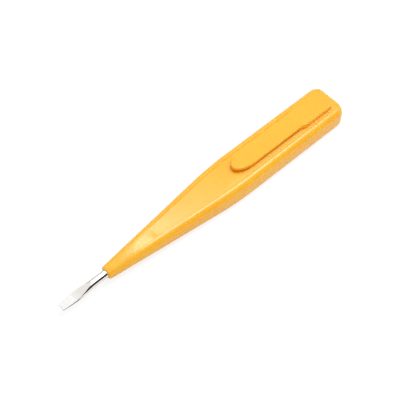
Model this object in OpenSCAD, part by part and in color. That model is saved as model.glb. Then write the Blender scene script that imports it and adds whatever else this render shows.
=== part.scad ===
// Pocket punch down tool: a flat moulded body with a clip, a polished shank with a
// flat blade, and a spring and hammer mechanism inside. All sizes are millimetres.
// X runs from the blade's tip (-X) to the rear end (+X), Z is up, and the tool rests
// on the flat underside of its body. The origin is under the middle of the tool.

/* [Body] */
// Length from the blade's tip to the rear end
overall_l = 140; // [138:1:170]
// Length of the taper, from the nose to the shoulder
taper_l = 59; // [57:1:70]
// Width of the straight part
body_w = 17.6; // [16.4:0.2:21.2]
// Height of the body without the clip
body_h = 9.5; // [9.3:0.1:11.4]
// Radius of the top edges
edge_r = 3.1; // [2.5:0.1:3.7]
// Radius of the bottom edges
base_r = 2.2; // [1.8:0.1:2.2]
// Thickness of the side walls
wall = 1.6; // [1.2:0.1:1.9]
// Thickness of plastic around the shank at the nose
nose_wall = 1.1; // [0.9:0.1:1.3]

/* [Blade] */
// Length of the shank and blade outside the nose
blade_out = 21; // [17:1:26]
// Diameter of the shank
shank_d = 3.2; // [2.7:0.1:3.8]
// Width of the flat blade where it is widest
flare_w = 4.1; // [3.6:0.1:4.9]
// Width of the blade's tip
tip_w = 3; // [2.5:0.1:3.5]
// Thickness of the blade's tip
tip_t = 0.5; // [0.4:0.1:0.8]

/* [Clip] */
// Length of the clip's free arm
arm_l = 33.6; // [28:0.1:36]
// Width of the arm
arm_w = 7.8; // [6.5:0.1:8.6]
// Width of the clip's fixed root
root_w = 9.2; // [9:0.1:11]
// Thickness of the arm
clip_t = 1.5; // [1.3:0.1:1.8]
// Gap between the arm and the body
clip_gap = 1; // [0.8:0.1:1.2]

/* [Mechanism] */
// Travel of the blade into the body
stroke = 6; // [5:0.5:7]
// Diameter of the hammer
hammer_d = 6; // [5:0.1:6]
// Length of the hammer
hammer_l = 16; // [14:1:19]
// Diameter of the trip pin
trip_d = 2; // [1.7:0.1:2.1]
// Sideways travel of the latch plate over the whole stroke
latch_travel = 1.2; // [1:0.1:1.4]
// Thickness of the cover in the underside
cover_t = 1.6; // [1.4:0.1:1.7]

/* [Hidden] */

$fn = 48;
over = 0.5;          // how far a cut runs past the face that it opens
run_gap = 0.06;      // radial clearance of a sliding fit
seat_gap = 0.05;     // clearance where two faces meet in use
cover_gap = 0.1;     // clearance around the cover

// stations along the tool
tip_x = -overall_l / 2;
nose_x = tip_x + blade_out;
shoulder_x = nose_x + taper_l;
rear_x = overall_l / 2;
rear_trim = 1.2;
axis_z = body_h / 2;
nose_d = shank_d + 2 * nose_wall;

// cavity of the straight part
cavity_top = axis_z + hammer_d / 2 + 0.1;
cavity_x = shoulder_x;
cavity_end = rear_x - wall;
cavity_half = body_w / 2 - wall;

// cover and its screws
cover_x = cavity_x + 1;
cover_end = cavity_end - 1;
cover_half = body_w / 2 - base_r - 0.4;
screw_y = cover_half - 1.6;
screw_x = [cavity_x + 6.5, cavity_end - 2.9];
boss_d = 3;
screw_d = 1.6;
screw_head_d = 2.6;
screw_l = 5;

// blade, nose and blade holder
flare_l = 13;
ground_l = 14.5;
bush_d = shank_d + 1.1;
bush_x = nose_x + 3;
bush_l = 6;
shank_end = nose_x + 17;
holder_d = shank_d + 1.1;
holder_x = bush_x + bush_l + 0.6;
chamber_d = 5.8;
chamber_x = nose_x + 31;
ring_l = 1.4;
flange_x = chamber_x + ring_l + seat_gap;
flange_l = 2;
flange_d = chamber_d - 0.2;
holder_end = flange_x + flange_l + 2.5;
holder_end_d = 3.4;
pin_d = 1;
pin_x = shank_end - 3.5;

// spring stop behind the return spring
stop_x = cavity_x + 2;
stop_t = 1.2;
stop_w = 11;

// hammer and latch plate
hammer_x = stop_x + stop_t + 6.8;
hammer_end = hammer_x + hammer_l;
latch_x = hammer_x + 2;
latch_t = 2;
latch_h = 3.6;
latch_inner = 2.4;
latch_head_y = -(cavity_half - 0.6);
latch_head_t = 0.8;
latch_neck = 1.2;
trip_start = flange_x;
trip_end = latch_x - seat_gap;
trip_hole_d = trip_d + 0.4;
hammer_hole_end = latch_x + latch_t + stroke - 1.5;
spigot_d = hammer_d - 2.6;
spigot_l = 3;

// main spring, seat and adjuster
main_spring_l = 18;
seat_x = hammer_end + main_spring_l;
seat_t = 1.5;
adjuster_d = 3;
adjuster_x = seat_x + seat_t;
adjuster_l = 10;
nut_x = adjuster_x + 2.5;
nut_t = 2.4;
nut_w = hammer_d - 0.6;
rib_t = 1.2;
rail_x = cavity_x + 9;
rail_y = 4.2;
rail_h = 1.95;

// trip cam beside the latch plate
cam_x = latch_x + latch_t;
cam_l = stroke + 2;
cam_back = cavity_half + 0.3;
cam_slope = latch_travel / stroke;

// clip
clip_top = body_h + clip_gap + clip_t;
clip_z = body_h + clip_gap + clip_t / 2;
root_end = rear_x - 3.6;
root_x = root_end - 17.8;
root_flare = 2.4;
root_corner = 1.6;
arm_nose_l = 8;
clip_screw_x = root_end - 3.2;
clip_screw_y = 2;
clip_screw_l = 4;

// ---------------------------------------------------------------- helpers

// Places its children on the tool's axis at x, with their own Z turned along +X
module along_x(x) {
    translate([x, 0, axis_z]) rotate([0, 90, 0]) children();
}

// Rod on the tool's axis
module rod(x, length, diameter) {
    along_x(x) cylinder(h = length, d = diameter);
}

// Box from its two end stations along X, its half width and its two heights
module slab(x0, x1, half_y, z0, z1) {
    translate([x0, -half_y, z0]) cube([x1 - x0, 2 * half_y, z1 - z0]);
}

// Left and right copies
module both_sides() {
    children();
    mirror([0, 1, 0]) children();
}

// Height of a spring's wire after t turns: the first and last turns lie closed
function coil_z(t, turns, wire_d, pitch) =
    wire_d * (min(t, 1) + max(0, t - turns + 1)) + pitch * max(0, min(t, turns - 1) - 1);

// Compression spring of round wire along +Z, swept along its helix as one closed solid
module coil_spring(length, outer_d, wire_d, turns) {
    sides = 6;
    rings = turns * 12;
    mean_r = (outer_d - wire_d) / 2;
    pitch = (length - 3 * wire_d) / (turns - 2);
    points = [
        for (i = [0 : rings]) let (t = i / 12, a = 360 * t)
            for (j = [0 : sides - 1]) let (r = mean_r + wire_d / 2 * cos(360 * j / sides))
                [r * cos(a), r * sin(a),
                    wire_d / 2 + coil_z(t, turns, wire_d, pitch) + wire_d / 2 * sin(360 * j / sides)]
    ];
    walls = [
        for (i = [0 : rings - 1], j = [0 : sides - 1]) let (k = (j + 1) % sides)
            each [[i * sides + j, (i + 1) * sides + k, i * sides + k],
                [i * sides + j, (i + 1) * sides + j, (i + 1) * sides + k]]
    ];
    ends = [[for (j = [0 : sides - 1]) j], [for (j = [sides - 1 : -1 : 0]) rings * sides + j]];
    polyhedron(points = points, faces = concat(walls, ends));
}

// Countersunk self-tapping screw along +Z, its head at the bottom
module countersunk_screw(length) {
    difference() {
        union() {
            cylinder(h = 0.8, d1 = screw_head_d, d2 = screw_d);
            cylinder(h = length, d = screw_d);
        }
        translate([-0.2, -screw_head_d / 2, -over]) cube([0.4, screw_head_d, over + 0.35]);
    }
}

// ------------------------------------------------------------------- body

// Outer form: rounded bar, cut flat at its rear, soft shoulder and long taper to the round nose
module body_form() {
    side_y = body_w / 2;
    full_rear = rear_x + rear_trim;
    intersection() {
        hull() {
            both_sides() {
                for (x = [shoulder_x + edge_r, full_rear - edge_r])
                    translate([x, side_y - edge_r, body_h - edge_r]) sphere(r = edge_r, $fn = 32);
                for (x = [shoulder_x + edge_r, full_rear - edge_r])
                    translate([x, side_y - base_r, base_r]) sphere(r = base_r, $fn = 32);
            }
            along_x(nose_x) cylinder(h = 1, d = nose_d - 1.2, $fn = 32);
            along_x(nose_x + 0.6) cylinder(h = 1, d = nose_d, $fn = 32);
        }
        slab(nose_x - over, rear_x, body_w, -over, body_h + over);
    }
}

// Half rib across the cavity with a round notch on the axis; z0 and z1 are its heights
module half_rib(x, thickness, half_y, z0, z1, notch_d) {
    difference() {
        slab(x, x + thickness, half_y, z0, z1);
        rod(x - over, thickness + 2 * over, notch_d);
    }
}

// Pair of horns beside the hammer and main spring, between heights z0 and z1
module rails(z0, z1) {
    difference() {
        slab(rail_x, adjuster_x, rail_y, z0, z1);
        rod(rail_x - over, adjuster_x - rail_x + 2 * over, hammer_d + 2 * run_gap);
        slab(rail_x - over, adjuster_x + over, 1.9, z0 - over, z1 + over);
    }
}

// Places its children at the four cover screws
module at_cover_screws() {
    for (x = screw_x)
        both_sides() translate([x, screw_y, 0]) children();
}

module body_shell() {
    color([0.99, 0.72, 0.2]) difference() {
        union() {
            difference() {
                body_form();
                slab(cavity_x, cavity_end, cavity_half, cover_t, cavity_top);
                slab(cover_x, cover_end, cover_half, -over, cover_t + over);
            }
            rails(axis_z + rail_h, cavity_top + over);
            half_rib(nut_x - rib_t - seat_gap, rib_t, cavity_half + over, axis_z + 0.2,
                cavity_top + over, adjuster_d + 0.4);
            half_rib(nut_x + nut_t + seat_gap, rib_t, cavity_half + over, axis_z + 0.2,
                cavity_top + over, adjuster_d + 0.4);
            half_rib(stop_x + stop_t + seat_gap, rib_t, cavity_half + over, axis_z + 0.2,
                cavity_top + over, trip_d + 1);
            at_cover_screws() translate([0, 0, cover_t])
                cylinder(h = cavity_top + over - cover_t, d = boss_d);
        }
        rod(nose_x - over, 4, shank_d + 2 * run_gap);
        rod(bush_x, bush_l + over, bush_d);
        rod(bush_x + bush_l, chamber_x - bush_x - bush_l + over, holder_d + 2 * run_gap);
        rod(chamber_x, cavity_x - chamber_x + over, chamber_d);
        slab(cavity_x - 1, cover_x + over, stop_w / 2, cover_t / 2, cover_t + seat_gap);
        translate([cam_x, -cam_back, axis_z - latch_h / 2])
            cube([cam_l, cam_back - cavity_half + over, latch_h]);
        at_cover_screws() cylinder(h = screw_l, d = screw_d);
        both_sides() translate([clip_screw_x, clip_screw_y, cavity_top - over])
            cylinder(h = body_h - cavity_top + 2 * over, d = screw_d);
    }
}

module base_cover() {
    low_top = axis_z - rail_h;
    color([0.97, 0.68, 0.18]) difference() {
        union() {
            slab(cover_x + cover_gap, cover_end - cover_gap, cover_half - cover_gap, 0, cover_t);
            slab(cavity_x - 0.9, cover_x + 2, stop_w / 2 - cover_gap, cover_t / 2 + seat_gap, cover_t);
            rails(cover_t - over, low_top);
            half_rib(nut_x - rib_t - seat_gap, rib_t, 3.2, cover_t - over, axis_z - 0.2, adjuster_d + 0.4);
            half_rib(nut_x + nut_t + seat_gap, rib_t, 3.2, cover_t - over, axis_z - 0.2, adjuster_d + 0.4);
        }
        at_cover_screws() {
            translate([0, 0, -over]) cylinder(h = cover_t + 2 * over, d = screw_d + 0.2);
            translate([0, 0, -over]) cylinder(h = over + 0.1, d = screw_head_d + 0.2);
            translate([0, 0, 0.1]) cylinder(h = 0.9, d1 = screw_head_d + 0.2, d2 = screw_d);
        }
    }
}

module cover_screws() {
    color("silver") at_cover_screws() translate([0, 0, 0.1]) countersunk_screw(screw_l - 0.1);
}

// ------------------------------------------------------------------- clip

// Points round a rear corner of the root, on the right (-1) or the left (1)
function corner(side) = [
    for (a = side < 0 ? [-90 : 15 : 0] : [0 : 15 : 90])
        [root_end - root_corner + root_corner * cos(a),
            side * (root_w / 2 - root_corner) + root_corner * sin(a)]
];

module clip_root() {
    front = root_x + 0.15;
    color([0.99, 0.72, 0.2]) difference() {
        translate([0, 0, body_h]) linear_extrude(height = clip_top - body_h)
            polygon(concat([[front, arm_w / 2], [front, -arm_w / 2], [front + root_flare, -root_w / 2]],
                corner(-1), corner(1), [[front + root_flare, root_w / 2]]));
        translate([root_x, 0, clip_z]) rotate([90, 0, 0])
            cylinder(h = root_w + 2 * over, d = clip_t + 2 * seat_gap, center = true);
        both_sides() translate([clip_screw_x, clip_screw_y, body_h - over])
            cylinder(h = clip_screw_l - (body_h - cavity_top) + over, d = screw_d);
    }
}

// Half outline of the arm's rounded free end
function arm_nose(steps) = [
    for (i = [-steps : steps]) let (a = 90 * i / steps)
        [root_x - arm_l + arm_nose_l * (1 - cos(a)), arm_w / 2 * sin(a)]
];

module clip_arm() {
    color([0.99, 0.72, 0.2]) union() {
        translate([0, 0, clip_z - clip_t / 2]) linear_extrude(height = clip_t)
            polygon(concat(arm_nose(10), [[root_x, arm_w / 2], [root_x, -arm_w / 2]]));
        translate([root_x, 0, clip_z]) rotate([90, 0, 0])
            cylinder(h = arm_w, d = clip_t, center = true);
    }
}

module clip_screws() {
    color("silver") both_sides() translate([clip_screw_x, clip_screw_y, cavity_top - 0.8]) {
        cylinder(h = 0.8, d = screw_head_d);
        cylinder(h = 0.8 + clip_screw_l, d = screw_d);
    }
}

// ------------------------------------------------------------------ blade

module nose_bush() {
    color("goldenrod") difference() {
        rod(bush_x, bush_l, bush_d);
        rod(bush_x - over, bush_l + 2 * over, shank_d + 2 * run_gap);
    }
}

// Outline of the flared blade, seen from above
module blade_plan() {
    polygon([[tip_x, -tip_w / 2], [tip_x + 4.5, -flare_w / 2], [tip_x + 8.5, -flare_w / 2],
        [tip_x + flare_l, -shank_d / 2], [tip_x + flare_l, shank_d / 2],
        [tip_x + 8.5, flare_w / 2], [tip_x + 4.5, flare_w / 2], [tip_x, tip_w / 2]]);
}

// Outline, seen from the side, of what is ground off above the blade
module ground_profile() {
    polygon([[tip_x - over, tip_t / 2], [tip_x, tip_t / 2], [tip_x + 6, tip_t / 2 + 0.3],
        [tip_x + ground_l, shank_d / 2], [tip_x + ground_l, shank_d], [tip_x - over, shank_d]]);
}

// Round shank whose end is flared, then ground to a thin flat tip on both sides
module blade() {
    color("gainsboro") difference() {
        union() {
            rod(tip_x + 8.5, shank_end - tip_x - 8.5, shank_d);
            intersection() {
                translate([0, 0, axis_z - shank_d / 2]) linear_extrude(height = shank_d) blade_plan();
                along_x(tip_x) cylinder(h = flare_l, d1 = 2 * flare_w, d2 = shank_d);
            }
        }
        translate([0, 0, axis_z]) for (side = [0, 1])
            mirror([0, 0, side]) rotate([90, 0, 0])
                linear_extrude(height = 2 * flare_w, center = true) ground_profile();
        cross_hole();
    }
}

// Hole through the shank and the holder for the cross pin
module cross_hole() {
    translate([pin_x, 0, axis_z]) rotate([90, 0, 0])
        cylinder(h = holder_d + 2 * over, d = pin_d, center = true);
}

module blade_pin() {
    color("silver") translate([pin_x, 0, axis_z]) rotate([90, 0, 0])
        cylinder(h = holder_d - 0.2, d = pin_d, center = true);
}

module blade_holder() {
    color("darkgray") difference() {
        union() {
            rod(holder_x, holder_end - holder_x, holder_end_d);
            rod(holder_x, flange_x - holder_x + over, holder_d);
            rod(flange_x, flange_l, flange_d);
        }
        rod(holder_x - over, shank_end - holder_x + over, shank_d);
        rod(trip_start, holder_end - trip_start + over, trip_d);
        cross_hole();
    }
}

module buffer_ring() {
    color("dimgray") difference() {
        rod(chamber_x, ring_l, chamber_d - 0.1);
        rod(chamber_x - over, ring_l + 2 * over, holder_d + 4 * run_gap);
    }
}

module trip_pin() {
    color("silver") rod(trip_start, trip_end - trip_start, trip_d);
}

// -------------------------------------------------------------- mechanism

module return_spring() {
    start = flange_x + flange_l;
    color("lightgray") along_x(start) coil_spring(stop_x - start, 5.2, 0.5, 14);
}

// Plate dropped over the trip pin, slotted towards the cover
module spring_stop() {
    color("darkgray") difference() {
        slab(stop_x, stop_x + stop_t, stop_w / 2, cover_t + seat_gap, cavity_top - seat_gap);
        rod(stop_x - over, stop_t + 2 * over, trip_d + 2 * run_gap);
        slab(stop_x - over, stop_x + stop_t + over, trip_d / 2 + run_gap, 0, axis_z);
    }
}

module hammer() {
    color("slategray") difference() {
        union() {
            rod(hammer_x, hammer_l, hammer_d);
            rod(hammer_end - over, spigot_l + over, spigot_d);
        }
        rod(hammer_x - over, hammer_hole_end - hammer_x + over, trip_hole_d);
        slab(latch_x - seat_gap, latch_x + latch_t + seat_gap, hammer_d,
            axis_z - latch_h / 2 - seat_gap, axis_z + latch_h / 2 + seat_gap);
    }
}

module latch_plate() {
    slab_x = latch_x + (latch_t - latch_neck) / 2;
    color("silver") difference() {
        union() {
            translate([latch_x, -latch_inner, axis_z - latch_h / 2])
                cube([latch_t, 2 * latch_inner - latch_travel, latch_h]);
            translate([slab_x, latch_head_y, axis_z - latch_neck / 2])
                cube([latch_neck, -latch_inner - latch_head_y + over, latch_neck]);
            translate([latch_x, latch_head_y, axis_z - latch_h / 2])
                cube([latch_t, latch_head_t, latch_h]);
        }
        translate([0, -latch_travel, 0]) rod(latch_x - over, latch_t + 2 * over, trip_hole_d);
    }
}

module latch_spring() {
    inner = hammer_d / 2 + 0.02;
    outer = -latch_head_y - latch_head_t;
    color("lightgray") translate([latch_x + latch_t / 2, -inner, axis_z]) rotate([90, 0, 0])
        coil_spring(outer - inner, 2.6, 0.25, 4);
}

// Wedge whose face moves the latch plate towards the axis as the hammer goes back
module trip_cam() {
    face = latch_head_y - seat_gap;
    color("slategray") translate([0, 0, axis_z - latch_h / 2]) linear_extrude(height = latch_h)
        polygon([[cam_x, -cam_back], [cam_x, face], [cam_x + stroke, face + latch_travel],
            [cam_x + cam_l, face + latch_travel], [cam_x + cam_l, -cam_back]]);
}

module main_spring() {
    color("lightgray") along_x(hammer_end) coil_spring(main_spring_l, hammer_d - 0.2, 0.8, 9);
}

module spring_seat() {
    color("darkgray") union() {
        rod(seat_x, seat_t, hammer_d - 0.2);
        rod(seat_x - 2, 2 + over, spigot_d);
    }
}

module adjuster_screw() {
    color("silver") difference() {
        rod(adjuster_x, adjuster_l, adjuster_d);
        translate([adjuster_x + adjuster_l - 1, -adjuster_d, axis_z - 0.3])
            cube([1 + over, 2 * adjuster_d, 0.6]);
    }
}

module adjuster_nut() {
    color("goldenrod") difference() {
        slab(nut_x, nut_x + nut_t, nut_w / 2, axis_z - nut_w / 2, axis_z + nut_w / 2);
        rod(nut_x - over, nut_t + 2 * over, adjuster_d);
    }
}

// --------------------------------------------------------------- assembly

body_shell();
base_cover();
cover_screws();
clip_root();
clip_arm();
clip_screws();
nose_bush();
blade();
blade_pin();
blade_holder();
buffer_ring();
trip_pin();
return_spring();
spring_stop();
hammer();
latch_plate();
latch_spring();
trip_cam();
main_spring();
spring_seat();
adjuster_screw();
adjuster_nut();
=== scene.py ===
# %% [markdown]
# # A pocket punch down tool
# The tool is a slim bar of moulded plastic that runs into a long taper, with a
# pocket clip on top and a short polished blade in front. The frame already
# holds every part at its true size. This lesson gives the parts their looks:
# it models the outside again with soft moulded edges, winds the springs, gives
# each material its surface, and sets up a white table with lights and a camera.

# %% Load the frame
import math

import bmesh
import bpy
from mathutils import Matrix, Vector


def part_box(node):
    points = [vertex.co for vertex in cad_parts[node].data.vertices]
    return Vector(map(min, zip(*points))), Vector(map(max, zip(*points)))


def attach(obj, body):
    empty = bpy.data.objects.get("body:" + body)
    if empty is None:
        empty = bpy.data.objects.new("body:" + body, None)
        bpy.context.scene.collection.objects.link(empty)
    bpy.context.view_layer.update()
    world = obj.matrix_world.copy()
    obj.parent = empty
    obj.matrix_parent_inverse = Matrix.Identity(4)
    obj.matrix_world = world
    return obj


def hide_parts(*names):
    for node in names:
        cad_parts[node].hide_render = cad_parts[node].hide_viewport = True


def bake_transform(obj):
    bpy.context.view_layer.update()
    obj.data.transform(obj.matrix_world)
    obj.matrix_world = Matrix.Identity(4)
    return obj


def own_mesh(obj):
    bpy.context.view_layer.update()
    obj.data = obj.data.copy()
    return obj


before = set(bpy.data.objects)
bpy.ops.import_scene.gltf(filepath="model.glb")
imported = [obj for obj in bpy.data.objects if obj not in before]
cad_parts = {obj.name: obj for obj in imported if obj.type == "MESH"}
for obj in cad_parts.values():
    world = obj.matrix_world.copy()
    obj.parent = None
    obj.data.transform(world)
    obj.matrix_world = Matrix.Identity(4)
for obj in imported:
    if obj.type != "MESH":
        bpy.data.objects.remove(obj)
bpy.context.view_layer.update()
mm = 0.001

# %% [markdown]
# ## Where things are
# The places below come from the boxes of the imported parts, so the looks lie
# where the model is. The body's straight part starts just behind the end of
# the cover's tongue, and the whole mechanism lies on one axis.

# %% Stations along the tool
body_low, body_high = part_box("body_shell")
cover_low, cover_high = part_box("base_cover")
blade_low, blade_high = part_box("blade")
arm_low, arm_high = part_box("clip_arm")
root_low, root_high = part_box("clip_root")
bush_low, bush_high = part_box("nose_bush")

tip_x = blade_low.x
nose_x = body_low.x
rear_x = -tip_x
shoulder_x = cover_low.x + 0.9 * mm
axis_z = (blade_low.z + blade_high.z) / 2
body_w = 17.6 * mm
body_h = 2 * axis_z
shank_r = (blade_high.z - blade_low.z) / 2
nose_wall = 1.1 * mm
nose_r = shank_r + nose_wall
print("the nose starts", round((nose_x - tip_x) / mm, 1), "mm behind the tip")

# %% [markdown]
# ## Small helpers
# An operator acts on all that is selected, so each piece starts from a clean
# selection. In edit mode, `pick` selects the vertices, edges or faces that
# pass a test, as one would by clicking on them.

# %% Helpers for selecting
def start_clean():
    if bpy.context.mode != "OBJECT":
        bpy.ops.object.mode_set(mode="OBJECT")
    bpy.ops.object.select_all(action="DESELECT")


def edit(piece):
    start_clean()
    piece.select_set(True)
    bpy.context.view_layer.objects.active = piece
    bpy.ops.object.mode_set(mode="EDIT")


def middle(part):
    return sum((v.co for v in part.verts), Vector()) / len(part.verts)


def pick(kind, test):
    """Selects what passes the test. kind is VERT, EDGE or FACE."""
    bpy.ops.mesh.select_mode(type=kind)
    bpy.ops.mesh.select_all(action="DESELECT")
    mesh = bmesh.from_edit_mesh(bpy.context.object.data)
    parts = {"VERT": mesh.verts, "EDGE": mesh.edges, "FACE": mesh.faces}[kind]
    for part in parts:
        if test(part):
            part.select_set(True)
    mesh.select_flush_mode()
    bmesh.update_edit_mesh(bpy.context.object.data)


def near(a, b):
    return abs(a - b) < 0.01 * mm


def all_at(part, axis, value):
    """True if every corner of this edge or face lies at value along axis 0, 1 or 2."""
    return all(near(v.co[axis], value) for v in part.verts)


def lies_along(edge):
    """True if both ends of this edge lie at one Y, so it runs along the tool or upright."""
    return near(edge.verts[0].co.y, edge.verts[1].co.y)


# %% Helpers for shaping
def new_piece(name):
    """Names the primitive just added and moves its place into its mesh."""
    piece = bpy.context.object
    piece.name = name
    bpy.ops.object.transform_apply(location=True, rotation=True, scale=True)
    return piece


def slice_at(place, facing, **options):
    """Cuts the whole mesh by a plane: a ring of edges, or one side cleared and closed."""
    bpy.ops.mesh.select_all(action="SELECT")
    bpy.ops.mesh.bisect(
        plane_co=place, plane_no=Vector(facing).normalized(),
        threshold=0.0001 * mm, **options,
    )


def bevel(offset, segments):
    bpy.ops.mesh.bevel(offset=offset, segments=segments, affect="EDGES", clamp_overlap=False)


def extrude_to(shift):
    bpy.ops.mesh.extrude_region_move(TRANSFORM_OT_translate={"value": shift})


def finish_mesh(piece, angle=35):
    """Leaves edit mode with outward faces and smooth shading over edges below the angle."""
    edit(piece)
    bpy.ops.mesh.select_all(action="SELECT")
    bpy.ops.mesh.remove_doubles(threshold=0.001 * mm)
    bpy.ops.mesh.normals_make_consistent(inside=False)
    bpy.ops.object.mode_set(mode="OBJECT")
    bpy.ops.object.shade_smooth_by_angle(angle=math.radians(angle))
    print(piece.name, "has", len(piece.data.polygons), "faces")


def carve(piece, tool):
    """Cuts tool out of piece, then removes tool."""
    start_clean()
    piece.select_set(True)
    bpy.context.view_layer.objects.active = piece
    cut = piece.modifiers.new("cut", "BOOLEAN")
    cut.operation = "DIFFERENCE"
    cut.object = tool
    cut.solver = "EXACT"
    bpy.ops.object.modifier_apply(modifier=cut.name)
    bpy.data.objects.remove(tool)


# %% Helpers for simple starts
def block(name, x0, x1, half_y, z0, z1):
    """A box between two stations, used as a cutter or as a start."""
    start_clean()
    bpy.ops.mesh.primitive_cube_add(size=1, location=((x0 + x1) / 2, 0, (z0 + z1) / 2))
    bpy.context.object.scale = (x1 - x0, 2 * half_y, z1 - z0)
    return new_piece(name)


def rod(name, x0, x1, radius):
    """A round bar on the tool's axis between two stations."""
    start_clean()
    bpy.ops.mesh.primitive_cylinder_add(
        vertices=64, radius=radius, depth=x1 - x0,
        location=((x0 + x1) / 2, 0, axis_z), rotation=(0, math.pi / 2, 0),
    )
    return new_piece(name)


# %% [markdown]
# ## The moulded body
# The body is one moulding: a bar with softly rounded edges, a shoulder, and a
# taper that turns from a rounded rectangle into a circle at the nose. It could
# be carved by booleans, but those leave hard creases. Here the bar starts as a
# box whose long edges are bevelled, which gives true arcs.

# %% Body: the bar with its rounded edges
corner_r = 3.4 * mm
rear_edge_r = 1 * mm
top_r = 3.1 * mm
base_r = 2.2 * mm
arc_steps = 8

body = block("handle_body", shoulder_x, rear_x - corner_r, body_w / 2, 0, body_h)
edit(body)
for height, radius in ((body_h, top_r), (0, base_r)):
    pick("EDGE", lambda e: all_at(e, 2, height) and lies_along(e))
    bevel(radius, arc_steps)
print("the bar's edges are rounded to", round(top_r / mm, 1), "mm")

# %% [markdown]
# The rear end is round in two ways: its corners seen from above, and its edges
# seen from the side. A bevel on top of a bevel folds there, so the end face is
# extruded back in short steps instead, and each step is scaled to the width
# and height that the two arcs leave at that station.

# %% Body: the rounded rear end
def half_width(x):
    """Half of the bar's width in its round rear corners, seen from above."""
    into = x - rear_x + corner_r
    return body_w / 2 - corner_r + math.sqrt(max(corner_r**2 - into**2, 0))


def height_left(x):
    """What is left of the bar's height where its rear edge is rounded."""
    into = max(x - rear_x + rear_edge_r, 0)
    return body_h - 2 * (rear_edge_r - math.sqrt(max(rear_edge_r**2 - into**2, 0)))


corner_steps, edge_steps = 4, 6
edge_x = rear_x - rear_edge_r
edge_angle = math.asin((edge_x - rear_x + corner_r) / corner_r)
stations = [
    rear_x - corner_r + corner_r * math.sin(edge_angle * step / corner_steps)
    for step in range(corner_steps + 1)
]
stations += [
    edge_x + rear_edge_r * math.sin(math.pi / 2 * step / edge_steps)
    for step in range(1, edge_steps + 1)
]
for before, after in zip(stations, stations[1:]):
    pick("FACE", lambda f: all_at(f, 0, before))
    extrude_to((after - before, 0, 0))
    narrower = half_width(after) / half_width(before)
    lower = height_left(after) / height_left(before)
    bpy.ops.transform.resize(
        value=(1, narrower, lower), center_override=(after, 0, body_h / 2)
    )
print("the rear end has", len(stations), "stations")

# %% [markdown]
# The nose starts as a ring with as many points as the bar's open end, so a
# bridge between the two rings makes the taper in clean, straight strips. The
# shoulder is then bevelled wide, which turns its corner into a long soft bend.

# %% Body: the nose ring and the taper
shoulder_soft = 7 * mm
nose_rim = 0.7 * mm
pick("FACE", lambda f: all_at(f, 0, shoulder_x))
bpy.ops.mesh.delete(type="ONLY_FACE")
bpy.ops.mesh.primitive_circle_add(
    vertices=4 * (arc_steps + 1), radius=nose_r,
    location=(nose_x, 0, axis_z), rotation=(0, math.pi / 2, 0),
)
pick("EDGE", lambda e: all_at(e, 0, shoulder_x) or all_at(e, 0, nose_x))
bpy.ops.mesh.bridge_edge_loops()
pick("EDGE", lambda e: all_at(e, 0, shoulder_x))
bevel(shoulder_soft, 8)
pick("EDGE", lambda e: all_at(e, 0, nose_x))
bpy.ops.mesh.fill()
pick("EDGE", lambda e: all_at(e, 0, nose_x) and any(len(f.verts) == 4 for f in e.link_faces))
bevel(nose_rim, 4)
print("the taper is", round((shoulder_x - nose_x) / mm, 1), "mm long")

# %% [markdown]
# A fine line shows where the flat top meets the rounded edges, from the rear
# to a little over half way down the taper. It is where two faces of the mould
# met. The line's edges are bevelled into a narrow strip, and the strip's middle
# is pushed down. On the real moulding it is deeper on the +Y side.

# %% Body: the line round the top
taper = nose_x - shoulder_x
line_end = 0.6
line_w = 0.17 * mm
line_depths = {1: 0.14 * mm, -1: 0.04 * mm}
for share in (line_end - 0.05, line_end, line_end + 0.05):
    slice_at((shoulder_x + taper * share, 0, 0), (1, 0, 0))


def border_of_top(edge):
    """True where the flat top meets the rounded edge, behind the line's end."""
    on_top = [f.normal.z > 0.9985 and abs(f.normal.y) < 0.02 for f in edge.link_faces]
    return sum(on_top) == 1 and middle(edge).x > shoulder_x + taper * line_end - 0.01 * mm


bmesh.from_edit_mesh(body.data).normal_update()
pick("EDGE", border_of_top)
line = [v.co.copy() for v in bmesh.from_edit_mesh(body.data).verts if v.select]
bevel(line_w, 2)
for side, depth in line_depths.items():
    places = [place for place in line if place.y * side > 0]
    pick("VERT", lambda v: any((v.co - place).length < line_w / 2 for place in places))
    bpy.ops.transform.translate(value=(0, 0, -depth))
finish_mesh(body)
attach(body, "housing")
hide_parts("body_shell")

# %% [markdown]
# ## The hollow inside the body
# The real moulding is a shell: the mechanism lies in a channel that the cover
# closes from below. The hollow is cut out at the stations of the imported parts,
# so the wall is as thick as it should be all round. The cutter first has holes
# cut in it, and each hole leaves a boss standing for one of the cover's screws.

# %% Body: the cavity, the cover's opening and the bores
wall = 1.6 * mm
cover_t = 1.6 * mm
play = 0.1 * mm
chamber_x, chamber_r = shoulder_x - 28 * mm, 2.9 * mm
cavity_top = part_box("hammer")[1].z + play
cavity_end = rear_x - wall
screws_low, screws_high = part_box("cover_screws")
head_r = 1.3 * mm
boss_r = 1.5 * mm

cavity = block("cavity", shoulder_x, cavity_end, body_w / 2 - wall, cover_t, cavity_top)
for x in (screws_low.x + head_r, screws_high.x - head_r):
    for y in (screws_low.y + head_r, screws_high.y - head_r):
        start_clean()
        bpy.ops.mesh.primitive_cylinder_add(
            vertices=32, radius=boss_r, depth=body_h, location=(x, y, cover_t + body_h / 2)
        )
        carve(cavity, new_piece("boss"))
print("the cavity is", round((cavity_end - shoulder_x) / mm, 1), "mm long")
carve(body, cavity)
for tool in (
    block("opening", shoulder_x + mm, cavity_end - mm, cover_high.y + play, -mm, cover_t + play),
    rod("shank_bore", nose_x - mm, bush_low.x + mm, shank_r + 0.08 * mm),
    rod("bush_bore", bush_low.x, chamber_x, bush_high.y + play),
    rod("spring_chamber", chamber_x, shoulder_x + mm, chamber_r),
):
    carve(body, tool)
finish_mesh(body)

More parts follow.
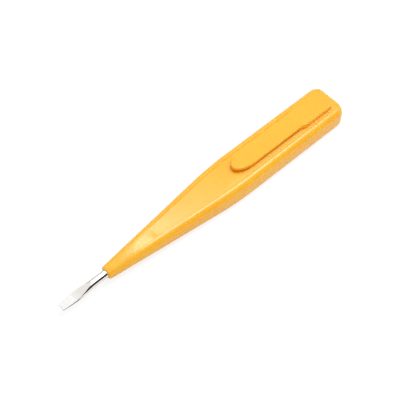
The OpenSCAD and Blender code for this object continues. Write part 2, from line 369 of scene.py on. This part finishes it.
# %% [markdown]
# ## The pocket clip
# On the real tool the clip is one springy moulding: a thin arm that lies just
# above the body, and a thicker root that is fastened to it. Its outline is
# drawn first as a flat shape: a circle stretched into a long round nose, then
# its straight edge extruded back station by station. The outline is thickened,
# and the root's underside is extruded down onto the body.

# %% Clip: the outline
arm_w = arm_high.y - arm_low.y
root_w = root_high.y - root_low.y
clip_t = arm_high.z - arm_low.z
hinge_x = arm_high.x - clip_t / 2
nose_l = 8 * mm
neck_l, neck_steps = 3 * mm, 6

start_clean()
bpy.ops.mesh.primitive_circle_add(
    vertices=64, radius=arm_w / 2, fill_type="NGON", location=(arm_low.x + nose_l, 0, arm_low.z)
)
bpy.context.object.scale.x = nose_l / (arm_w / 2)
clip = new_piece("pocket_clip")
edit(clip)
slice_at((arm_low.x + nose_l, 0, 0), (1, 0, 0), clear_outer=True)


def extrude_back(to_x, width):
    """Pulls the clip's rear edge back to a station and gives it a width."""
    mesh = bmesh.from_edit_mesh(bpy.context.object.data)
    last_x = max(v.co.x for v in mesh.verts)
    last_w = 2 * max(v.co.y for v in mesh.verts if near(v.co.x, last_x))
    pick("EDGE", lambda e: all_at(e, 0, last_x))
    extrude_to((to_x - last_x, 0, 0))
    bpy.ops.transform.resize(value=(1, width / last_w, 1), center_override=(to_x, 0, 0))


extrude_back(hinge_x, arm_w)
for step in range(1, neck_steps + 1):
    share = step / neck_steps
    widened = (3 - 2 * share) * share**2
    extrude_back(hinge_x + neck_l * share, arm_w + (root_w - arm_w) * widened)
extrude_back(root_high.x, root_w)
print("the clip is", round((root_high.x - arm_low.x) / mm, 1), "mm long")

# %% [markdown]
# The arm bends at its root when something is slid under it.

# %% Clip: the thickness, the root and the rings across the bend
root_corner = 1.6 * mm
clip_edge = 0.1 * mm
bend_rings, ring_gap = 12, 0.8 * mm
bpy.ops.mesh.select_all(action="SELECT")
extrude_to((0, 0, clip_t))
pick("EDGE", lambda e: all_at(e, 0, root_high.x) and lies_along(e))
bevel(root_corner, 8)
pick("FACE", lambda f: all_at(f, 2, arm_low.z) and middle(f).x > hinge_x + 0.2 * mm)
extrude_to((0, 0, body_h - 0.05 * mm - arm_low.z))
pick(
    "EDGE",
    lambda e: all_at(e, 2, arm_high.z) and len({round(f.normal.z, 1) for f in e.link_faces}) > 1,
)
bevel(clip_edge, 2)
finish_mesh(clip, 20)
edit(clip)
for step in range(bend_rings):
    slice_at((hinge_x - step * ring_gap, 0, 0), (1, 0, 0))
finish_mesh(clip, 20)
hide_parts("clip_root", "clip_arm")
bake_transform(clip)

# %% [markdown]
# ## The blade
# The shank is drawn steel rod. Its end is forged wider, then ground to a thin
# flat on both sides, so a sharp, curved line shows where each ground flat runs
# out on the round rod. Rings are extruded from the rod's end and scaled for
# the flare. Each flat is then cut as on a grinder, by a wheel that is a block
# with two planes sliced off it: one for the tip's land and one for the ramp.

# %% Blade: the rod and the forged flare
shank_w = 2 * shank_r
flare_w = blade_high.y - blade_low.y
tip_w = 3 * mm
flare_l, widest_l = 16 * mm, 8 * mm


def flare_width(behind):
    """The blade's width behind its tip: an arc to the widest place, then an S curve to the rod."""
    if behind < widest_l:
        return tip_w + (flare_w - tip_w) * (1 - (1 - behind / widest_l) ** 2)
    share = (flare_l - behind) / (flare_l - widest_l)
    return shank_w + (flare_w - shank_w) * (3 - 2 * share) * share**2


flare_x = tip_x + flare_l
start_clean()
bpy.ops.mesh.primitive_cylinder_add(
    vertices=96, radius=shank_r, depth=blade_high.x - flare_x,
    location=((blade_high.x + flare_x) / 2, 0, axis_z), rotation=(0, -math.pi / 2, 0),
)
blade = new_piece("blade_and_shank")
edit(blade)
for step in range(16):
    behind, after = flare_l - step * mm, flare_l - (step + 1) * mm
    pick("FACE", lambda f: all_at(f, 0, tip_x + behind))
    extrude_to((-mm, 0, 0))
    bpy.ops.transform.resize(
        value=(1, flare_width(after) / flare_width(behind), 1),
        center_override=(tip_x + after, 0, axis_z),
    )
print("the blade is", round(flare_w / mm, 1), "mm wide and", round(tip_w / mm, 1), "mm at its tip")

# %% Blade: grinding the flats
tip_t = 0.5 * mm
land_l, land_rise = 6 * mm, 0.3 * mm
ground_l = 14.5 * mm
ramp_rise = shank_r - land_rise - tip_t / 2
bpy.ops.object.mode_set(mode="OBJECT")
for side in (1, -1):
    top = axis_z + 2 * side * shank_r
    wheel = block("wheel", tip_x - mm, tip_x + ground_l + mm, flare_w, axis_z, top)
    edit(wheel)
    bpy.ops.mesh.select_all(action="SELECT")
    bpy.ops.mesh.normals_make_consistent(inside=False)
    land = (tip_x, 0, axis_z + side * tip_t / 2), (-land_rise, 0, side * land_l)
    ramp_end = (tip_x + ground_l, 0, axis_z + side * shank_r)
    ramp = ramp_end, (-ramp_rise, 0, side * (ground_l - land_l))
    for place, facing in (land, ramp):
        slice_at(place, facing, use_fill=True, clear_inner=True)
    bpy.ops.object.mode_set(mode="OBJECT")
    carve(blade, wheel)
edit(blade)
pick("EDGE", lambda e: any(len(f.verts) > 8 for f in e.link_faces))
bpy.ops.mesh.mark_sharp()
finish_mesh(blade, 25)
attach(blade, "blade_unit")
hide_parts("blade")

# %% [markdown]
# ## Finishes
# A colour is written as a hex value, as a paint chart gives it, and one
# function turns it into the linear numbers that the shader wants. One more
# small function adds a node with its settings and its links.

# %% Helpers for materials
def linear(hex_colour):
    parts = [int(hex_colour[i:i + 2], 16) / 255 for i in (1, 3, 5)]
    return [c / 12.92 if c <= 0.04045 else ((c + 0.055) / 1.055) ** 2.4 for c in parts] + [1]


def add_node(tree, kind, links=None, **settings):
    """Adds a node; links maps an input to a value or to another node's output."""
    node = tree.nodes.new("ShaderNode" + kind)
    for setting, value in settings.items():
        setattr(node, setting, value)
    for socket, value in (links or {}).items():
        if isinstance(value, bpy.types.NodeSocket):
            tree.links.new(value, node.inputs[socket])
        else:
            node.inputs[socket].default_value = value
    return node


def new_finish(name, **shader_values):
    """A material with its Principled shader, whose constant values are set here."""
    finish = bpy.data.materials.new(name)
    finish.use_nodes = True
    shader = finish.node_tree.nodes["Principled BSDF"]
    for socket, value in shader_values.items():
        shader.inputs[socket.replace("_", " ")].default_value = value
    return finish, finish.node_tree, shader


def wear(piece, finish):
    piece.data.materials.clear()
    piece.data.materials.append(finish)


# %% [markdown]
# ### Moulded ABS
# The body and clip are ABS, coloured orange-yellow right through and moulded
# in a polished mould. It has an even gloss, and light enters it a little, which
# softens its shadows. Its tint drifts slightly from place to place. In a nook,
# light bounces from wall to wall and turns a deeper orange; here that is painted
# shade: Ambient Occlusion finds such places, and a deeper orange is painted into
# the base colour there. A close look finds an orange-peel ripple, about 3 mm
# long, where the plastic shrank as it cooled.

# %% Moulded ABS
tint_l, peel_l, peel_h, painted_shade_reach = 12 * mm, 3 * mm, 0.05 * mm, 1.5 * mm
abs_yellow, tree, shader = new_finish(
    "moulded_abs_yellow", Roughness=0.22, IOR=1.52, Subsurface_Weight=0.3,
    Subsurface_Radius=(1.0, 0.35, 0.08), Subsurface_Scale=1.5 * mm,
)
place = add_node(tree, "TexCoord").outputs["Object"]
tint_noise = add_node(tree, "TexNoise", {"Vector": place, "Scale": 1 / tint_l, "Detail": 2})
tint = add_node(tree, "ValToRGB", {"Fac": tint_noise.outputs["Fac"]})
for stop, position, colour in zip(tint.color_ramp.elements, (0.3, 0.7), ("#FBB428", "#FCB92E")):
    stop.position = position
    stop.color = linear(colour)
# Painted shade: where Ambient Occlusion finds a nook, the base colour turns to the deeper orange
# #FF8F0C, standing in for light bounced between the walls.
painted_nook_shade = add_node(tree, "AmbientOcclusion", {"Distance": painted_shade_reach}, samples=8)
unshaded_share = add_node(tree, "MapRange", {
    "Value": painted_nook_shade.outputs["AO"], "From Min": 0.35, "From Max": 0.8,
})
colour = add_node(tree, "MixRGB", {
    "Fac": unshaded_share.outputs[0], "Color1": linear("#FF8F0C"), "Color2": tint.outputs["Color"],
})
tree.links.new(colour.outputs[0], shader.inputs["Base Color"])
peel = add_node(tree, "TexNoise", {"Vector": place, "Scale": 1 / peel_l, "Detail": 1})
bump = add_node(tree, "Bump", {"Height": peel.outputs["Fac"], "Strength": 0.05, "Distance": peel_h})
tree.links.new(bump.outputs["Normal"], shader.inputs["Normal"])
for piece in (body, clip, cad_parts["base_cover"]):
    wear(piece, abs_yellow)
print(abs_yellow.name, "covers the body, the clip and the cover")

# %% [markdown]
# ### Nickel plated steel
# The blade is plated with bright nickel, so it mirrors the room, with a warm
# white cast. Its flats are ground after forging: the wheel leaves fine grit
# marks across them. Real grit is about 0.05 mm, and 0.3 mm is the finest that
# shows here. Beside the ground flats, the narrow sides are painted a darker
# grey: painted shade for the dark lines along the blade's edges.

# %% Nickel plated steel
grit_l, grit_h = 0.3 * mm, 0.01 * mm
across = (1, 0.08, 0.08)
nickel, tree, shader = new_finish("nickel_plated_steel", Metallic=1.0)
coordinates = add_node(tree, "TexCoord")
place = coordinates.outputs["Object"]
along = add_node(tree, "SeparateXYZ", {"Vector": place})
ground = add_node(tree, "MapRange", {
    "Value": along.outputs["X"], "From Min": tip_x + 6.5 * mm, "From Max": tip_x + 9 * mm,
    "To Min": 1, "To Max": 0,
}).outputs[0]
stretch = add_node(tree, "Mapping", {"Vector": place, "Scale": across})
grit = add_node(tree, "TexNoise", {
    "Vector": stretch.outputs["Vector"], "Scale": 1 / grit_l, "Detail": 3,
}).outputs["Fac"]
gloss = add_node(tree, "MapRange", {"Value": grit, "To Min": 0.05, "To Max": 0.13})
tree.links.new(gloss.outputs[0], shader.inputs["Roughness"])
shade = add_node(tree, "MixRGB", {
    "Fac": ground, "Color1": linear("#E9E6E0"), "Color2": linear("#F0EFEC"),
})
# Painted shade: within the ground part, faces that look sideways are painted the darker grey
# #96918B, standing in for the shade along the blade's edges.
facing = add_node(tree, "SeparateXYZ", {"Vector": coordinates.outputs["Normal"]})
level = add_node(tree, "Math", {0: facing.outputs["Z"]}, operation="ABSOLUTE")
side = add_node(tree, "Math", {0: level.outputs[0], 1: 0.6}, operation="LESS_THAN")
painted_side_shade = add_node(tree, "Math", {0: side.outputs[0], 1: ground}, operation="MULTIPLY")
colour = add_node(tree, "MixRGB", {
    "Fac": painted_side_shade.outputs[0], "Color1": shade.outputs[0], "Color2": linear("#96918B"),
})
tree.links.new(colour.outputs[0], shader.inputs["Base Color"])
scratch = add_node(tree, "Math", {0: grit, 1: ground}, operation="MULTIPLY")
bump = add_node(tree, "Bump", {"Height": scratch.outputs[0], "Strength": 0.3, "Distance": grit_h})
tree.links.new(bump.outputs["Normal"], shader.inputs["Normal"])
wear(blade, nickel)
print(nickel.name, "covers the blade")

# %% [markdown]
# ### The metal parts inside
# The hammer, the latch and their neighbours are turned or milled steel with an
# oil-blackened skin, dark and only half glossy. The springs are drawn music
# wire, grey and smooth. The screws are zinc plated, pale with a blue cast. The
# bush and the nut are turned brass, warm and bright. A lathe leaves rings round
# a part, so the noise is drawn out across the axis and stays fine along it.

# %% Helper for machined metals
def machined(name, dark, light, roughness, mark_l, drawn_out):
    """A metal with tool marks mark_l apart, drawn out as the Mapping scale says."""
    finish, tree, shader = new_finish(name, Metallic=1.0)
    place = add_node(tree, "TexCoord").outputs["Object"]
    drawn = add_node(tree, "Mapping", {"Vector": place, "Scale": drawn_out})
    marks = add_node(tree, "TexNoise", {
        "Vector": drawn.outputs["Vector"], "Scale": 1 / mark_l, "Detail": 3,
    }).outputs["Fac"]
    tone = add_node(tree, "ValToRGB", {"Fac": marks})
    for stop, position, colour in zip(tone.color_ramp.elements, (0.35, 0.7), (dark, light)):
        stop.position = position
        stop.color = linear(colour)
    tree.links.new(tone.outputs["Color"], shader.inputs["Base Color"])
    rough = add_node(tree, "MapRange", {
        "Value": marks, "To Min": roughness - 0.08, "To Max": roughness + 0.1,
    })
    tree.links.new(rough.outputs[0], shader.inputs["Roughness"])
    bump = add_node(tree, "Bump", {"Height": marks, "Strength": 0.4, "Distance": 0.01 * mm})
    tree.links.new(bump.outputs["Normal"], shader.inputs["Normal"])
    return finish


# %% Blackened steel, music wire, zinc and brass
turned, even = (1, 0.05, 0.05), (1, 1, 1)
black_steel = machined("oil_blackened_steel", "#2B2A2A", "#55524E", 0.38, 0.4 * mm, turned)
music_wire = machined("drawn_music_wire", "#8C8A86", "#B9B6B0", 0.25, 0.3 * mm, even)
zinc = machined("zinc_plated_steel", "#B4B8BC", "#D6D9DB", 0.3, 0.5 * mm, even)
brass = machined("turned_brass", "#B08D4A", "#D9B971", 0.24, 0.3 * mm, turned)
for finish, names in (
    (black_steel, "blade_holder trip_pin hammer trip_cam spring_seat spring_stop latch_plate"),
    (zinc, "cover_screws clip_screws blade_pin adjuster_screw"),
    (brass, "nose_bush adjuster_nut"),
):
    for name in names.split():
        wear(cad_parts[name], finish)
    print(finish.name, "covers", names)

# %% [markdown]
# ### Nitrile rubber
# The buffer ring is moulded nitrile rubber: near black and dull, with a faint
# grey bloom in patches under a millimetre wide.

# %% Nitrile rubber
rubber, tree, shader = new_finish("moulded_nitrile_rubber", IOR=1.52)
place = add_node(tree, "TexCoord").outputs["Object"]
bloom = add_node(tree, "TexNoise", {
    "Vector": place, "Scale": 1 / (0.8 * mm), "Detail": 4,
}).outputs["Fac"]
tone = add_node(tree, "ValToRGB", {"Fac": bloom})
for stop, colour in zip(tone.color_ramp.elements, ("#1C1B1B", "#343231")):
    stop.color = linear(colour)
tree.links.new(tone.outputs["Color"], shader.inputs["Base Color"])
dullness = add_node(tree, "MapRange", {"Value": bloom, "To Min": 0.55, "To Max": 0.75})
tree.links.new(dullness.outputs[0], shader.inputs["Roughness"])
wear(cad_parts["buffer_ring"], rubber)
print(rubber.name, "covers the buffer ring")

# %% [markdown]
# ## The springs
# A coil spring is one wire wound on a helix. A small circle, the wire's
# section, is carried round the axis by a Screw modifier, and its two ends are
# closed. The real end turns lie closer, but they are out of sight, so one even
# pitch is enough.

# %% Helper for winding a spring
def coil(name, node, wire, turns, turned_by, foot):
    """Winds a spring along Z to the size of its CAD node, then lays it in place."""
    low_end, high_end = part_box(node)
    size = high_end - low_end
    start_clean()
    bpy.ops.mesh.primitive_circle_add(
        vertices=12, radius=wire / 2, location=((size.z - wire) / 2, 0, wire / 2),
        rotation=(math.pi / 2, 0, 0),
    )
    spring = new_piece(name)
    winding = spring.modifiers.new("winding", "SCREW")
    winding.axis = "Z"
    winding.screw_offset = (max(size) - wire) / turns
    winding.iterations = turns
    winding.steps = winding.render_steps = 28
    winding.use_merge_vertices = False
    bpy.ops.object.modifier_apply(modifier=winding.name)
    edit(spring)
    bpy.ops.mesh.select_all(action="DESELECT")
    bpy.ops.mesh.select_non_manifold()
    bpy.ops.mesh.edge_face_add()
    bpy.ops.object.mode_set(mode="OBJECT")
    spring.rotation_euler = turned_by
    spring.location = foot
    bpy.ops.object.transform_apply(location=True, rotation=True, scale=True)
    finish_mesh(spring, 50)
    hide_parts(node)
    wear(spring, music_wire)
    return spring


# %% The return spring and the main spring
lay_along_x = (0, math.pi / 2, 0)
for name, node, wire, turns, joint, keep in (
    ("return_coil", "return_spring", 0.5 * mm, 14, "blade_slide", 0.775),
    ("hammer_coil", "main_spring", 0.8 * mm, 9, "hammer_slide", 0.667),
):
    low_end, high_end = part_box(node)
    spring = coil(name, node, wire, turns, lay_along_x, (low_end.x, 0, axis_z))
    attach(spring, "housing")
    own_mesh(spring)

# %% The latch's spring
lay_along_y = (math.pi / 2, 0, 0)
low_end, high_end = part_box("latch_spring")
latch_x = (low_end.x + high_end.x) / 2
seat = (latch_x, high_end.y, axis_z)
spring = coil("latch_coil", "latch_spring", 0.25 * mm, 4, lay_along_y, seat)
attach(spring, "hammer")
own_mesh(spring)

# %% [markdown]
# ## The camera
# The camera looks down on the tool from its blade end, with a long lens, so
# that the tool lies from corner to corner of the view and hardly narrows with
# distance. The view is a square, and its width and the lens's length are given
# in one unit, which makes their ratio the tangent of the lens's half angle.

# %% Camera
elevation = math.radians(57.55)
turn = math.radians(41.99)
target = Vector((0.54, 2.87, 0)) * mm
distance = 388.4 * mm
view_half, lens_length = 200, 986.5

bpy.ops.object.camera_add()
camera = bpy.context.object
bpy.context.scene.camera = camera
camera.data.lens_unit = "FOV"
camera.data.angle = 2 * math.atan(view_half / lens_length)
away = Vector((
    -math.sin(turn) * math.cos(elevation),
    -math.cos(turn) * math.cos(elevation),
    math.sin(elevation),
))
camera.location = target + distance * away
camera.rotation_euler = away.to_track_quat("Z", "Y").to_euler()
print("the lens takes in", round(math.degrees(camera.data.angle), 1), "degrees")

# %% [markdown]
# ## Floor and light
# The tool lies on a white table in even light. To the camera, and a little in
# gloss, the table glows near white whatever lights it, and the share that is
# left is a plain white surface, which keeps the tool's soft shadow.

# %% Floor
camera_glow, gloss_glow = 0.75, 0.1
bpy.ops.mesh.primitive_plane_add(size=3, location=(0, 0, -0.02 * mm))
floor = bpy.context.object
floor.name = "table_top"
table_white, tree, shader = new_finish(
    "white_table", Roughness=0.9, Base_Color=(0.88, 0.88, 0.88, 1)
)
glow = add_node(tree, "Emission", {"Color": (1, 1, 1, 1), "Strength": 1.08})
ray = add_node(tree, "LightPath").outputs
mirrored = add_node(
    tree, "Math", {0: ray["Is Glossy Ray"], 1: ray["Is Transmission Ray"]}, operation="MAXIMUM"
)
part = add_node(tree, "Math", {0: mirrored.outputs[0], 1: gloss_glow}, operation="MULTIPLY")
share = add_node(
    tree, "Math", {0: ray["Is Camera Ray"], 1: camera_glow, 2: part.outputs[0]},
    operation="MULTIPLY_ADD",
)
both = add_node(tree, "MixShader", {
    0: share.outputs[0], 1: shader.outputs[0], 2: glow.outputs[0],
})
tree.links.new(both.outputs[0], tree.nodes["Material Output"].inputs["Surface"])
wear(floor, table_white)
print("the table is", round(floor.dimensions.x, 1), "m wide")

# %% [markdown]
# Two soft lamps hang about a metre above. The wide one draws the bright line
# along the rounded edge. The strip is placed so that only the taper's top
# mirrors it, and the shine fades out toward the middle of the tool.

# %% Lamps
def softbox(name, place, along_x, along_y, power):
    """A rectangular lamp that faces the origin, with its sides along X and Y."""
    bpy.ops.object.light_add(type="AREA", location=place)
    lamp = bpy.context.object
    lamp.name = name
    lamp.data.shape = "RECTANGLE"
    lamp.data.size = along_x
    lamp.data.size_y = along_y
    lamp.data.energy = power
    facing = Vector(place).normalized()
    lamp.rotation_euler = (math.asin(-facing.y), math.atan2(facing.x, facing.z), 0)
    print(name, "gives", power, "W")


softbox("overhead_softbox", (0.36, -0.11, 1), 0.55, 0.44, 5.4)
softbox("strip_softbox", (0.17, 0.4, 0.92), 0.1, 0.46, 1.8)

# %% [markdown]
# The world is a white room. Polished steel shows its shape only where it
# mirrors something dark, so gloss also finds a black card in front of the tool
# and a darker band round the horizon. The camera sees plain white, and the
# light that the room itself gives is level and soft.

# %% World
room_light = 0.61
card_way = (0.28, -0.84, 0.46)
world = bpy.data.worlds.new("studio")
bpy.context.scene.world = world
world.use_nodes = True
tree = world.node_tree
way = add_node(tree, "TexCoord").outputs["Generated"]
toward_card = add_node(tree, "VectorMath", {0: way, 1: card_way}, operation="DOT_PRODUCT")
card = add_node(tree, "MapRange", {
    "Value": toward_card.outputs["Value"], "From Min": 0.86, "From Max": 0.95,
    "To Min": 1, "To Max": 0.04,
})
height = add_node(tree, "SeparateXYZ", {"Vector": way})
horizon = add_node(tree, "MapRange", {
    "Value": height.outputs["Z"], "From Min": 0.16, "From Max": 0.34, "To Min": 0.15, "To Max": 1,
})
dim = add_node(tree, "Math", {0: card.outputs[0], 1: horizon.outputs[0]}, operation="MULTIPLY")
ray = add_node(tree, "LightPath").outputs
either = add_node(
    tree, "Math", {0: ray["Is Camera Ray"], 1: ray["Is Glossy Ray"]}, operation="ADD"
)
seen = add_node(
    tree, "Math", {0: either.outputs[0], 1: ray["Is Transmission Ray"]},
    operation="ADD", use_clamp=True,
)
level = add_node(tree, "Mix", {"Factor": seen.outputs[0], "A": room_light, "B": dim.outputs[0]})
plain = add_node(tree, "Math", {0: level.outputs[0], 1: ray["Is Camera Ray"]}, operation="MAXIMUM")
backdrop = tree.nodes["Background"]
backdrop.inputs["Color"].default_value = (1, 1, 1, 1)
tree.links.new(plain.outputs[0], backdrop.inputs["Strength"])
bpy.context.scene.view_settings.view_transform = "Standard"
print("the room lights the tool at", room_light)
